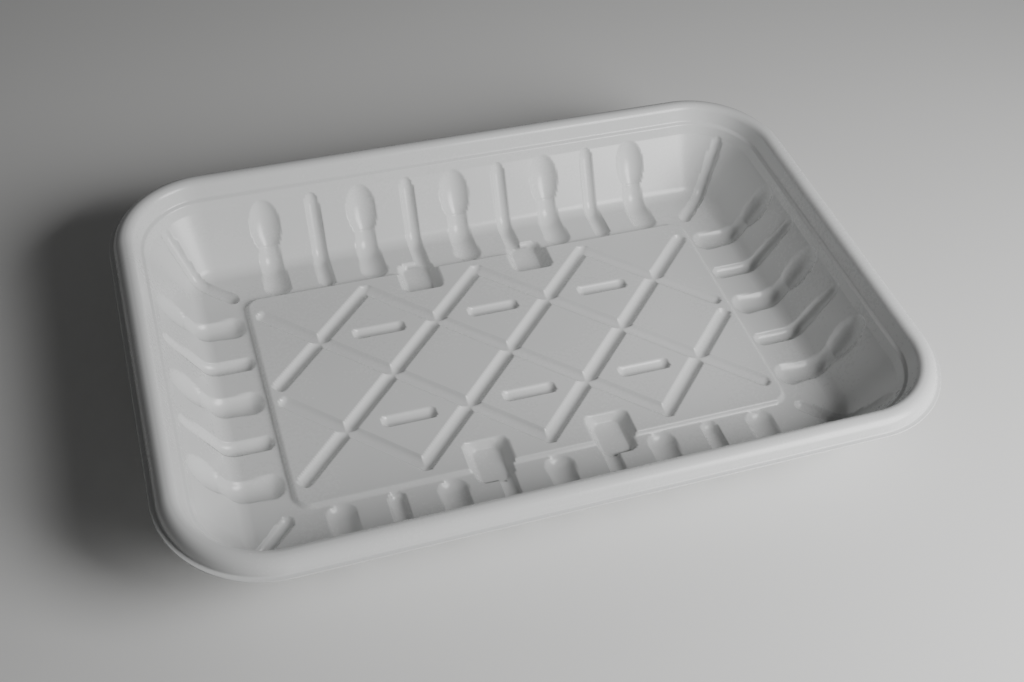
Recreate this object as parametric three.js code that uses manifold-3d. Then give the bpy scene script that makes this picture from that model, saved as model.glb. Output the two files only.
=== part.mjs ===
// A fruit packing tray: one thin vacuum-formed plastic sheet, 230 x 160.6 mm and about 31 mm tall.
// Millimetres, +Z up. The origin is the middle of the tray, on the surface that it stands on.
//
// The tray is an outer solid less an inner hollow, both from one section through the wall that
// is carried round a rounded rectangle. Every groove is cut with a bar that has a rounded
// section; the same bar, thicker by the sheet, is the bulge that the groove makes underneath.

import * as THREE from "three";
import { mergeVertices } from "three/addons/utils/BufferGeometryUtils.js";
import Module from "manifold-3d";

const wasm = await Module();
wasm.setup();

// ---- Driving dimensions ----
const SHEET = 0.5; // thickness of the plastic sheet
const HALF_LENGTH = 115; // from the middle to the edge of the lip, along X
const HALF_WIDTH = 80.3; // from the middle to the edge of the lip, along Y
const CORNER_RADIUS = 32; // of the lip's edge
const CORNER_STEPS = 7; // flat facets round each corner

// Heights above the surface that the tray stands on.
const PANEL_HEIGHT = 4.2; // raised middle of the floor, upper face
const SHELF_HEIGHT = 2.8; // flat band between panel and wall, upper face
const LIP_HEIGHT = 27.1; // flat lip, upper face
const CREST_HEIGHT = 31; // top of the rim's rounded bead

// The rim. Insets are measured from the edge of the lip.
const LIP_WIDTH = 1.8;
const CREST_INSET = 5.5; // top of the bead
const BEAD_OUTER_RADIUS = 5;
const BEAD_INNER_RADIUS = 2.6;
const COLLAR_ANGLE = 66; // degrees of slope where the bead becomes the collar

// The wall, as [inset, height].
const LEDGE = [9.6, 25.1]; // small ledge at the foot of the collar
const STEP_FOOT = [10.3, 23.5]; // foot of the upright step under the ledge
const WALL_FOOT_INSET = 22.5; // where wall and shelf would meet without their fillet
const FOOT_FILLET = 4;
const FOOT_FILLET_STEPS = 2;

// Raised panel in the floor.
const PANEL_HALF_LENGTH = 76.5;
const PANEL_HALF_WIDTH = 42.4;
const PANEL_CORNER_RADIUS = 4;
const PANEL_SLOPE_RUN = 1.7; // horizontal width of the slope round the panel

// Lattice of grooves in the panel.
const LATTICE_X = 19.1; // half a diamond, along X
const LATTICE_Y = 18.83; // half a diamond, along Y
const LATTICE_COLUMNS = 4; // halves of a diamond each side of the middle
const LATTICE_ROWS = 2;
const LATTICE_END_INSET = 3.6; // from the outermost nodes to the grooves' open ends
const GROOVE_HALF_WIDTH = 2.5;
const GROOVE_DEPTH = 1.4;
const DASH_HALF_LENGTH = 8.65;

// Flutes down the walls: wide ones on even steps from the middle, thin ones between them.
const FLUTE_PITCH = 16.3;
const LONG_SIDE_STEPS = 4; // each side of the middle
const SHORT_SIDE_STEPS = 2;
const FLUTE_TOP_HEIGHT = 22.3; // upper end of every flute
const FOOT_END_INSET = 36.6; // inner end of every flute's foot
const THIN_HALF_WIDTH = 2.25;
const THIN_DEPTH = 1.45;
const BOWL_LENGTH = 16.4; // spoon-shaped bowl of a wide flute, along the wall
const BOWL_HALF_WIDTH = 5;
const BOWL_DEPTH = 1.9;
const NECK_HALF_WIDTH = 3.4;
const NECK_DEPTH = 1.4;
const FOOT_HALF_WIDTH = 4.6;
const FOOT_DEPTH = 1.9;
const CORNER_GROOVE_END_INSET = 38; // inner end of the diagonal grooves in the corners

// Four pockets that the tray stands on, two at each long side.
const POCKET_X = 19.3;
const POCKET_HALF_LENGTH = 7.15; // along X, at the panel
const POCKET_SIDE_RUN = 2.9; // how far its two sides lean in
const POCKET_NEAR = 32.8; // its edges at the panel and at the shelf, from the middle along Y
const POCKET_NEAR_RUN = 1.3;
const POCKET_FAR = 48.1;
const POCKET_FAR_RUN = 0.7;
const POCKET_CORNER_RADIUS = 2.6;

const degrees = (angle) => (angle * Math.PI) / 180;

// ---- Solids from rings ----
function solid(geometry) {
  geometry.deleteAttribute("normal");
  geometry.deleteAttribute("uv");
  const merged = mergeVertices(geometry, 1e-5);
  const vertProperties = new Float32Array(merged.attributes.position.array);
  const triVerts = new Uint32Array(merged.index.array);
  return new wasm.Manifold(new wasm.Mesh({ numProp: 3, vertProperties, triVerts }));
}

const join = (solids) => solids.reduce((whole, next) => whole.add(next));

// A closed solid through rings of points. Every ring has the same number of points, anticlockwise
// seen from the last ring; the first and last ring are closed by a point.
function ringSolid(first, rings, last) {
  const columns = rings[0].length;
  const rows = [rings[0].map(() => first), ...rings, rings[0].map(() => last)];
  const line = rows.map((ring, row) => new THREE.Vector2(1, row));
  const geometry = new THREE.LatheGeometry(line, columns);
  rows.forEach((ring, row) => {
    for (let column = 0; column <= columns; column++) {
      const { x, y, z } = ring[column % columns];
      geometry.attributes.position.setXYZ(column * rows.length + row, x, y, z);
    }
  });
  return solid(geometry);
}

// A level ring round a rectangle with rounded corners.
function levelRing({ left, right, near, far }, radius, steps, height) {
  const ring = [];
  for (let quarter = 0; quarter < 4; quarter++) {
    const x = quarter === 0 || quarter === 3 ? right - radius : left + radius;
    const y = quarter < 2 ? far - radius : near + radius;
    for (let step = 0; step <= steps; step++) {
      const angle = degrees(90 * (quarter + step / steps));
      ring.push(new THREE.Vector3(x + radius * Math.cos(angle), y + radius * Math.sin(angle), height));
    }
  }
  return ring;
}

const rectangle = (halfLength, halfWidth) => (
  { left: -halfLength, right: halfLength, near: -halfWidth, far: halfWidth }
);

// A profile of [inset, height] carried round the tray and closed on its middle.
function roundTray(profile) {
  const rings = profile.map(([inset, height]) => {
    const bounds = rectangle(HALF_LENGTH - inset, HALF_WIDTH - inset);
    return levelRing(bounds, CORNER_RADIUS - inset, CORNER_STEPS, height);
  });
  const middle = (height) => new THREE.Vector3(0, 0, height);
  return ringSolid(middle(profile[0][1]), rings, middle(profile.at(-1)[1]));
}

// ---- Section through the wall ----
const wallRun = WALL_FOOT_INSET - STEP_FOOT[0];
const wallRise = STEP_FOOT[1] - SHELF_HEIGHT;
const wallSlope = Math.atan2(wallRise, wallRun);
const filletTangent = FOOT_FILLET * Math.tan(wallSlope / 2);
const filletLength = FOOT_FILLET * wallSlope;
const filletTop = [
  WALL_FOOT_INSET + filletTangent - FOOT_FILLET * Math.sin(wallSlope),
  SHELF_HEIGHT + FOOT_FILLET * (1 - Math.cos(wallSlope)),
];

// A place on the upper face, a distance down from the fillet's upper end: on the wall where the
// distance is negative, then in the fillet, then on the shelf. The slope is in radians.
function facePlace(distance) {
  if (distance <= 0) {
    const inset = filletTop[0] + distance * Math.cos(wallSlope);
    return { inset, height: filletTop[1] - distance * Math.sin(wallSlope), slope: wallSlope };
  }
  const slope = Math.max(wallSlope - distance / FOOT_FILLET, 0);
  const along = Math.max(distance - filletLength, 0);
  const inset = WALL_FOOT_INSET + filletTangent - FOOT_FILLET * Math.sin(slope) + along;
  return { inset, height: SHELF_HEIGHT + FOOT_FILLET * (1 - Math.cos(slope)), slope };
}

// The upper face from the shelf up to the crest of the bead.
function innerFace() {
  const points = [];
  for (let step = 0; step <= FOOT_FILLET_STEPS; step++) {
    const { inset, height } = facePlace(filletLength * (1 - step / FOOT_FILLET_STEPS));
    points.push([inset, height]);
  }
  points.push(STEP_FOOT, [STEP_FOOT[0] - 0.15, LEDGE[1] - 0.2], LEDGE);
  for (const angle of [COLLAR_ANGLE, 36, 0]) {
    const turn = degrees(angle);
    const inset = CREST_INSET + BEAD_INNER_RADIUS * Math.sin(turn);
    points.push([inset, CREST_HEIGHT - BEAD_INNER_RADIUS * (1 - Math.cos(turn))]);
  }
  return points;
}

// The upper face from beyond the crest, down the bead's outer side, to the edge of the lip.
function outerFace() {
  const sideTurn = Math.asin((CREST_INSET - LIP_WIDTH - 0.3) / BEAD_OUTER_RADIUS);
  const points = [1 / 3, 2 / 3, 1].map((part) => {
    const turn = sideTurn * part;
    const inset = CREST_INSET - BEAD_OUTER_RADIUS * Math.sin(turn);
    return [inset, CREST_HEIGHT - BEAD_OUTER_RADIUS * (1 - Math.cos(turn))];
  });
  return [...points, [LIP_WIDTH, LIP_HEIGHT], [0, LIP_HEIGHT]];
}

// A line of [inset, height] points moved to the underside by a distance, with mitred corners.
function lowered(points, distance) {
  const normals = points.slice(1).map((point, i) => {
    const run = point[0] - points[i][0];
    const rise = point[1] - points[i][1];
    return [-rise / Math.hypot(run, rise), run / Math.hypot(run, rise)];
  });
  return points.map((point, i) => {
    const before = normals[Math.max(i - 1, 0)];
    const after = normals[Math.min(i, normals.length - 1)];
    const scale = distance / (1 + before[0] * after[0] + before[1] * after[1]);
    return [point[0] + (before[0] + after[0]) * scale, point[1] + (before[1] + after[1]) * scale];
  });
}

// ---- Grooves ----
// One station of a groove is a point on the face, the face's normal and the groove's half width
// and depth there. The cut has four facets below the face and one flat top; the bulge is thicker
// by grow and has three facets.
function grooveRing({ point, normal, halfWidth, depth }, across, grow) {
  const radius = (halfWidth ** 2 + depth ** 2) / (2 * depth);
  const reach = Math.asin(Math.min(halfWidth / radius, 1));
  const place = (turn, size) => [size * Math.sin(turn), radius - depth - size * Math.cos(turn)];
  let sides = [-1, -0.5, 0, 0.5, 1].map((part) => place(reach * part, radius));
  if (grow === 0) {
    for (const [end, next] of [[0, 1], [4, 3]]) {
      const [side, down] = sides[end];
      sides[end] = [side + (side - sides[next][0]) * 0.4, down + (down - sides[next][1]) * 0.4];
    }
  } else {
    const size = (radius + grow) / Math.cos(reach / 3);
    sides = [-1, -1 / 3, 1 / 3, 1].map((part) => place(reach * part, part ** 2 === 1 ? radius + grow : size));
  }
  return sides.map(([side, down]) =>
    point.clone().addScaledVector(across, side).addScaledVector(normal, down),
  );
}

// A groove is a cut from above and a bulge below. Its tips are a little beyond the first and the
// last station's point, above the face for the cut and inside the sheet for the bulge.
function groove(stations, across) {
  const tip = (station, next, grow) => {
    const outward = new THREE.Vector3().subVectors(station.point, next.point).normalize();
    const place = station.point.clone().addScaledVector(outward, grow === 0 ? 0.35 : grow * 0.8);
    return place.addScaledVector(station.normal, grow === 0 ? 0.35 : -grow / 2);
  };
  const make = (grow) => {
    const rings = stations.slice(1, -1).map((station) => grooveRing(station, across, grow));
    const first = tip(stations[0], stations[1], grow);
    return ringSolid(first, rings, tip(stations.at(-1), stations.at(-2), grow));
  };
  return { cut: make(0), bulge: make(SHEET) };
}

// Half width and depth of a groove whose end is a part of a ball, at a place from the end's centre.
function ballEnd(halfWidth, depth, part) {
  const radius = (halfWidth ** 2 + depth ** 2) / (2 * depth);
  return {
    halfWidth: halfWidth * Math.sqrt(1 - part ** 2),
    depth: Math.sqrt(radius ** 2 - (halfWidth * part) ** 2) - radius + depth,
  };
}

const END_PART = 0.8; // where a rounded end has its one ring, in half widths from its centre

// A straight groove on level ground, from the centre of one rounded end to that of the other.
function straightGroove(from, to, halfWidth, depth) {
  const along = new THREE.Vector3().subVectors(to, from).normalize();
  const normal = new THREE.Vector3(0, 0, 1);
  const across = new THREE.Vector3().crossVectors(normal, along);
  const station = (base, distance, size) => (
    { point: base.clone().addScaledVector(along, distance * halfWidth), normal, ...size }
  );
  const full = { halfWidth, depth };
  const end = ballEnd(halfWidth, depth, END_PART);
  const stations = [
    station(from, -1, full),
    station(from, -END_PART, end),
    station(from, 0, full),
    station(to, 0, full),
    station(to, END_PART, end),
    station(to, 1, full),
  ];
  return groove(stations, across);
}

// ---- Lattice and dashes in the panel ----
const latticeNode = (column, row) =>
  new THREE.Vector3(column * LATTICE_X, row * LATTICE_Y, PANEL_HEIGHT);

// The grooves of one diagonal direction: side is 1 where they rise to the right, -1 where they fall.
function diagonals(side) {
  const list = [];
  const [columns, rows] = [LATTICE_COLUMNS, LATTICE_ROWS];
  for (let shift = -columns; shift <= columns; shift += 2) {
    const first = Math.max(-rows, -columns - shift);
    const last = Math.min(rows, columns - shift);
    const from = latticeNode(first + shift, first * side);
    const to = latticeNode(last + shift, last * side);
    const inset = new THREE.Vector3(LATTICE_X, LATTICE_Y * side, 0);
    inset.multiplyScalar(LATTICE_END_INSET / LATTICE_X);
    if (first + shift === -columns) from.add(inset);
    if (last + shift === columns) to.sub(inset);
    list.push(straightGroove(from, to, GROOVE_HALF_WIDTH, GROOVE_DEPTH));
  }
  return list;
}

function dashes() {
  const reach = new THREE.Vector3(DASH_HALF_LENGTH - GROOVE_HALF_WIDTH, 0, 0);
  const places = [-1, 1].flatMap((row) => [-2, 0, 2].map((column) => latticeNode(column, row)));
  return places.map((middle) => {
    const [from, to] = [middle.clone().sub(reach), middle.clone().add(reach)];
    return straightGroove(from, to, GROOVE_HALF_WIDTH, GROOVE_DEPTH);
  });
}

// ---- Flutes down the walls ----
const fluteTop = -(FLUTE_TOP_HEIGHT - filletTop[1]) / Math.sin(wallSlope);
const footEnd = (inset) => filletLength + inset - WALL_FOOT_INSET - filletTangent;

// Sizes of a thin flute, as [distance on the face, half width, depth].
function thinSizes(endInset) {
  const end = footEnd(endInset);
  const tip = ballEnd(THIN_HALF_WIDTH, THIN_DEPTH, END_PART);
  const full = (distance) => [distance, THIN_HALF_WIDTH, THIN_DEPTH];
  const reach = THIN_HALF_WIDTH * (1 - END_PART);
  return [
    full(fluteTop),
    [fluteTop + reach, tip.halfWidth, tip.depth],
    full(fluteTop + THIN_HALF_WIDTH),
    full(0),
    full(filletLength / 2),
    full(filletLength),
    full(end - THIN_HALF_WIDTH),
    [end - reach, tip.halfWidth, tip.depth],
    full(end),
  ];
}

// Sizes of a wide flute: an oval bowl, a neck and a broad foot.
function wideSizes() {
  const end = footEnd(FOOT_END_INSET);
  const tip = ballEnd(FOOT_HALF_WIDTH, FOOT_DEPTH, END_PART);
  const bowl = (part) => fluteTop + BOWL_LENGTH * part;
  return [
    [fluteTop, BOWL_HALF_WIDTH, BOWL_DEPTH],
    [bowl(0.09), BOWL_HALF_WIDTH * 0.66, BOWL_DEPTH * 0.55],
    [bowl(0.3), BOWL_HALF_WIDTH * 0.97, BOWL_DEPTH * 0.95],
    [bowl(0.62), BOWL_HALF_WIDTH * 0.95, BOWL_DEPTH],
    [bowl(1), NECK_HALF_WIDTH, NECK_DEPTH],
    [filletLength / 2, FOOT_HALF_WIDTH * 0.93, FOOT_DEPTH],
    [filletLength, FOOT_HALF_WIDTH, FOOT_DEPTH],
    [end - FOOT_HALF_WIDTH, FOOT_HALF_WIDTH, FOOT_DEPTH],
    [end - FOOT_HALF_WIDTH * (1 - END_PART), tip.halfWidth, tip.depth],
    [end, FOOT_HALF_WIDTH, FOOT_DEPTH],
  ];
}

// A flute from its sizes. The origin is the lip's edge, from which insets run inward.
function flute(sizes, origin, inward) {
  const stations = sizes.map(([distance, halfWidth, depth]) => {
    const { inset, height, slope } = facePlace(distance);
    const point = origin.clone().addScaledVector(inward, inset);
    point.z = height;
    const normal = inward.clone().multiplyScalar(Math.sin(slope));
    normal.z = Math.cos(slope);
    return { point, normal, halfWidth, depth };
  });
  const across = new THREE.Vector3().crossVectors(new THREE.Vector3(0, 0, 1), inward);
  return groove(stations, across);
}

// The flutes of one side: its inward direction, its distance from the middle and its steps.
function sideFlutes(inward, distance, steps) {
  const along = new THREE.Vector3(-inward.y, inward.x, 0);
  const list = [];
  for (let step = -steps; step <= steps; step++) {
    const origin = inward.clone().multiplyScalar(-distance).addScaledVector(along, step * FLUTE_PITCH);
    list.push(flute(step % 2 === 0 ? wideSizes() : thinSizes(FOOT_END_INSET), origin, inward));
  }
  return list;
}

// ---- Corners and pockets ----
function cornerGroove(signX, signY) {
  const inward = new THREE.Vector3(-signX, -signY, 0).normalize();
  const origin = new THREE.Vector3(HALF_LENGTH - CORNER_RADIUS, HALF_WIDTH - CORNER_RADIUS, 0);
  origin.multiply(new THREE.Vector3(signX, signY, 1)).addScaledVector(inward, -CORNER_RADIUS);
  return flute(thinSizes(CORNER_GROOVE_END_INSET), origin, inward);
}

// A pocket with leaning sides and a flat floor. Its underside is what the tray stands on.
function pocket(signX, signY) {
  const ring = (lean, grow, height) => {
    const bounds = {
      left: signX * POCKET_X - POCKET_HALF_LENGTH + lean * POCKET_SIDE_RUN - grow,
      right: signX * POCKET_X + POCKET_HALF_LENGTH - lean * POCKET_SIDE_RUN + grow,
      near: POCKET_NEAR + lean * POCKET_NEAR_RUN - grow,
      far: POCKET_FAR - lean * POCKET_FAR_RUN + grow,
    };
    if (signY < 0) [bounds.near, bounds.far] = [-bounds.far, -bounds.near];
    return levelRing(bounds, POCKET_CORNER_RADIUS, 2, height);
  };
  const middle = (height) =>
    new THREE.Vector3(signX * POCKET_X, (signY * (POCKET_NEAR + POCKET_FAR)) / 2, height);
  const make = (grow) => {
    const [floor, edge] = [SHEET - grow, PANEL_HEIGHT - grow];
    const rings = [ring(1, grow, floor), ring(0, grow, edge)];
    if (grow === 0) rings.push(ring(-0.2, grow, edge + 0.8));
    return ringSolid(middle(floor), rings, middle(grow === 0 ? edge + 0.8 : edge));
  };
  return { cut: make(0), bulge: make(SHEET) };
}

// ---- Assembly ----
// The raised panel, reaching below the shelf so that it cuts cleanly.
function panel(inset, height) {
  const steepness = (PANEL_HEIGHT - SHELF_HEIGHT) / PANEL_SLOPE_RUN;
  const drop = PANEL_HEIGHT - SHELF_HEIGHT + 0.8;
  const ring = (grow, level) => {
    const bounds = rectangle(PANEL_HALF_LENGTH + grow, PANEL_HALF_WIDTH + grow);
    return levelRing(bounds, PANEL_CORNER_RADIUS + grow, 3, level);
  };
  const middle = (level) => new THREE.Vector3(0, 0, level);
  const rings = [ring(drop / steepness - inset, height - drop), ring(-inset, height)];
  return ringSolid(middle(height - drop), rings, middle(height));
}

function tray() {
  const inner = innerFace();
  const outer = outerFace();
  const underside = lowered([...inner, ...outer], SHEET);
  const outside = roundTray([...underside, ...outer.reverse(), inner.at(-1)]);
  const hollow = roundTray([...inner, [CREST_INSET, CREST_HEIGHT + 3]]);

  const grooves = [
    ...diagonals(1),
    ...diagonals(-1),
    ...dashes(),
    ...sideFlutes(new THREE.Vector3(0, -1, 0), HALF_WIDTH, LONG_SIDE_STEPS),
    ...sideFlutes(new THREE.Vector3(0, 1, 0), HALF_WIDTH, LONG_SIDE_STEPS),
    ...sideFlutes(new THREE.Vector3(1, 0, 0), HALF_LENGTH, SHORT_SIDE_STEPS),
    ...sideFlutes(new THREE.Vector3(-1, 0, 0), HALF_LENGTH, SHORT_SIDE_STEPS),
  ];
  for (const [signX, signY] of [[-1, -1], [1, -1], [1, 1], [-1, 1]]) {
    grooves.push(cornerGroove(signX, signY), pocket(signX, signY));
  }
  const cuts = join(grooves.map(({ cut }) => cut));
  const bulges = join(grooves.map(({ bulge }) => bulge));
  const space = hollow.subtract(panel(0, PANEL_HEIGHT));
  const body = outside.subtract(panel(SHEET / 2, PANEL_HEIGHT - SHEET)).add(bulges);
  return body.subtract(space).subtract(cuts);
}

function meshFrom(shape, name, material) {
  const { vertProperties, triVerts } = shape.getMesh();
  const geometry = new THREE.BufferGeometry();
  geometry.setAttribute("position", new THREE.BufferAttribute(new Float32Array(vertProperties), 3));
  geometry.setIndex(new THREE.BufferAttribute(new Uint32Array(triVerts), 1));
  geometry.computeVertexNormals();
  const mesh = new THREE.Mesh(geometry, material);
  mesh.name = name;
  return mesh;
}

const whitePlastic = new THREE.MeshStandardMaterial({ color: 0xe9eae8, roughness: 0.35, metalness: 0 });

const group = new THREE.Group();
group.add(meshFrom(tray(), "tray", whitePlastic));

export default group;
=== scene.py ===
"""Looks of a fruit packing tray: one thin white vacuum-formed sheet, in a plain studio.

The sheet is one surface with two skins. Its base is a section through the wall that is carried
round a rounded rectangle, and a floor with a raised panel. Every groove is a depth below that
base, worked out from the distance to the groove's middle line, so that both skins come from the
same functions: the lower skin's grooves are wider and deeper by the sheet. Lengths are in
millimetres until a mesh is made.
"""

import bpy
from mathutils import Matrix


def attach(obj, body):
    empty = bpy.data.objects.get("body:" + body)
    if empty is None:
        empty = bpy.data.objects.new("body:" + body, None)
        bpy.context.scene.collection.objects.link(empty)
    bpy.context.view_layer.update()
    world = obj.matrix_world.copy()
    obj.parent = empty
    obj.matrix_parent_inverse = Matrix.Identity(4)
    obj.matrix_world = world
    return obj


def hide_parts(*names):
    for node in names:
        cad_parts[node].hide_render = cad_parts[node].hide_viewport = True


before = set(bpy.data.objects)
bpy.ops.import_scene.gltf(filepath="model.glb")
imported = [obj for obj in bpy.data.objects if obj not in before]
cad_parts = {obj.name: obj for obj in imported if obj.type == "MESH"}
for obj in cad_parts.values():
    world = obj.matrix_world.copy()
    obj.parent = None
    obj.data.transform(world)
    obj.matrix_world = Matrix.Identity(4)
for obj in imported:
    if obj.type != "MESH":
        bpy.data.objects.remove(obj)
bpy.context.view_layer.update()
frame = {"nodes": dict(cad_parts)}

import logging
import math
from dataclasses import dataclass, field
from enum import Enum

import bpy
import numpy as np
from mathutils import Matrix, Vector

log = logging.getLogger("tray")

MM = 0.001  # metres in a millimetre
SHEET = 0.5  # thickness of the sheet
NORMAL_GAP = 0.02  # half the span of the central differences that give the normals
SAME = 1e-6  # a length below which two places are one
MERGE_STEPS = 2e4  # steps to a millimetre of the lattice on which doubled points are merged
NOISE_MIDDLE = 0.5  # what a noise is on average


class Skin(Enum):
    """The two faces of the sheet, with how much each one's grooves grow."""

    INSIDE = 0.0
    UNDERSIDE = SHEET


# ---- Soft arithmetic ----


def soft_positive(value: np.ndarray, width: float) -> np.ndarray:
    """The larger of a value and zero, with the corner rounded by a parabola.

    Args:
        value: Any array.
        width: Half of the span over which the corner is rounded.

    Returns:
        Zero below -width, the value above width, a parabola between.
    """
    rounded = (value + width) ** 2 / (4 * width)
    return np.where(value <= -width, 0.0, np.where(value >= width, value, rounded))


def soft_max(a: np.ndarray, b: np.ndarray, width: float) -> np.ndarray:
    """The larger of two arrays, rounded where they meet."""
    return b + soft_positive(a - b, width)


def soft_min(a: np.ndarray, b: np.ndarray, width: float) -> np.ndarray:
    """The smaller of two arrays, rounded where they meet."""
    return b - soft_positive(b - a, width)


def leftwards(heading: float) -> np.ndarray:
    """The direction to the left of a heading in radians."""
    return np.array([-math.sin(heading), math.cos(heading)])


def union(a: np.ndarray, b: np.ndarray) -> np.ndarray:
    """The larger of two depths, rounded where they are alike and zero where both are."""
    power = 5
    return (a**power + b**power) ** (1 / power)


def past_corner(a: np.ndarray, b: np.ndarray) -> np.ndarray:
    """Distance past the nearer of two sides, or straight from their corner beyond both."""
    beyond = np.hypot(np.maximum(a, 0.0), np.maximum(b, 0.0))
    return beyond + np.minimum(np.maximum(a, b), 0.0)


def groove_depth(
    off: np.ndarray, half_width: np.ndarray, depth: np.ndarray, skin: Skin, edge: float
) -> np.ndarray:
    """Depth of a round-bottomed groove below its own skin.

    The section is a circle that passes through both edges and the bottom; the lower skin's
    circle has the same centre and a radius larger by the sheet. The edges are rounded over.

    Args:
        off: Distance from the groove's middle line.
        half_width: Half of the groove's width at the inside face.
        depth: Depth at its middle, from the inside face.
        skin: Which face of the sheet.
        edge: How softly the groove's edges are rounded.

    Returns:
        The depth, zero outside the groove.
    """
    radius = (half_width**2 + depth**2) / (2 * depth)
    grown = radius + skin.value
    below = np.sqrt(np.maximum(grown**2 - off**2, 0.0)) - np.maximum(off - grown, 0.0)
    return soft_positive(below - (radius - depth) - skin.value, edge)


# ---- Sizes ----


@dataclass(frozen=True)
class Rim:
    """The plan of the tray and the section of its rim, in insets from the lip's edge.

    A pair is an inset and a height, and a bend is the radius of a rounded corner.
    """

    half_length: float = 115.0
    half_width: float = 80.3
    corner: float = 31.2
    lip_height: float = 27.1
    lip_width: float = 1.4
    lip_bend: float = 0.6
    crest_height: float = 31.0
    crest_inset: float = 5.3
    crest_outer_radius: float = 3.9
    crest_outer_turn: float = 80.0
    crest_outer_steps: int = 8
    crest_inner_radius: float = 2.6
    collar_slope: float = 68.0
    ledge: tuple[float, float] = (9.2, 25.7)
    ledge_bend: float = 1.2
    ledge_end: tuple[float, float] = (10.3, 24.9)
    ledge_end_bend: float = 1.0


@dataclass(frozen=True)
class Wall:
    """The sloping wall between the rim's ledge and the floor's shelf, in the same terms."""

    step_foot: tuple[float, float] = (11.3, 21.8)
    step_foot_bend: float = 3.0
    foot_inset: float = 22.5
    shelf_height: float = 2.8
    fillet: float = 5.5

    @property
    def slope(self) -> float:
        """Slope of the wall above level, in radians."""
        rise = self.step_foot[1] - self.shelf_height
        return math.atan2(rise, self.foot_inset - self.step_foot[0])

    @property
    def fillet_inset(self) -> float:
        """Inset at which the fillet runs out on the shelf."""
        return self.foot_inset + self.fillet * math.tan(self.slope / 2)

    @property
    def fillet_length(self) -> float:
        """Length of the fillet's arc."""
        return self.fillet * self.slope

    @property
    def fillet_top_height(self) -> float:
        """Height at which the fillet runs into the wall."""
        return self.shelf_height + self.fillet * (1 - math.cos(self.slope))


@dataclass(frozen=True)
class Panel:
    """The raised panel in the floor, with its lattice of grooves, dashes and pockets.

    A run is how far a side moves in on its way down, and a soft size is half of the span over
    which an edge is rounded.
    """

    height: float = 4.2
    half_length: float = 76.5
    half_width: float = 42.4
    corner: float = 4.0
    slope_run: float = 1.0
    slope_soft: float = 0.2
    slope_growth: float = 0.36
    lattice_x: float = 19.1
    lattice_y: float = 18.83
    columns: int = 4
    rows: int = 2
    end_inset: float = 3.6
    groove_half_width: float = 2.4
    groove_depth: float = 1.4
    groove_edge: float = 0.16
    falling_half_width: float = 2.2
    falling_depth: float = 1.35
    falling_edge: float = 0.4
    crossing_soft: float = 0.12
    dash_half_length: float = 8.65
    dash_rows: tuple[int, ...] = (-1, 1)
    dash_columns: tuple[int, ...] = (-2, 0, 2)
    pocket_x: float = 19.3
    pocket_half_length: float = 7.15
    pocket_side_run: float = 2.9
    pocket_near: float = 32.8
    pocket_near_run: float = 1.3
    pocket_far: float = 48.1
    pocket_far_run: float = 0.7
    pocket_corner: float = 2.7
    pocket_foot_soft: float = 0.35
    pocket_edge_soft: float = 0.22
    pocket_levels: tuple[float, float] = (-0.3, 1.1)
    pocket_halvings: int = 18


@dataclass(frozen=True)
class Flutes:
    """The flutes down the walls: wide ones on even steps, thin ones between them.

    Lengths are measured down the face, and a pair is a size at the upper and the lower end.
    """

    pitch: float = 16.3
    long_steps: int = 4
    short_steps: int = 2
    top_height: float = 22.3
    foot_end_inset: float = 36.6
    corner_end_inset: float = 38.0
    thin_point: float = 4.5
    thin_half_width: tuple[float, float] = (2.3, 2.75)
    thin_depth: tuple[float, float] = (1.6, 2.1)
    corner_half_width: tuple[float, float] = (2.1, 2.2)
    corner_depth: tuple[float, float] = (1.2, 1.8)
    bowl_length: float = 16.4
    bowl_upper: float = 8.5
    bowl_lower: float = 9.7
    bowl_half_width: float = 5.0
    bowl_depth: float = 2.55
    bowl_shallowing: float = 0.9
    bowl_lower_part: float = 0.9
    bowl_end_run: float = 0.6
    bowl_end_slope: float = 1.6
    bowl_end_soft: float = 0.5
    neck_part: float = 0.85
    foot_half_width: tuple[float, float] = (3.1, 4.7)
    foot_depth: tuple[float, float] = (1.6, 2.2)
    foot_end: float = 4.2
    foot_level: float = 1.0


# ---- The section through wall and rim ----


@dataclass
class Section:
    """Rows of a section through the sheet's inside face.

    Each row has its inset and height, its normal's inward and upward parts, and its distance
    down the face from the fillet's top.
    """

    inset: np.ndarray
    height: np.ndarray
    normal_in: np.ndarray
    normal_up: np.ndarray
    below: np.ndarray

    def rows(self, first: int, last: int) -> "Section":
        """The rows from first up to and with last."""
        return Section(*(values[first : last + 1] for values in vars(self).values()))


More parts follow.
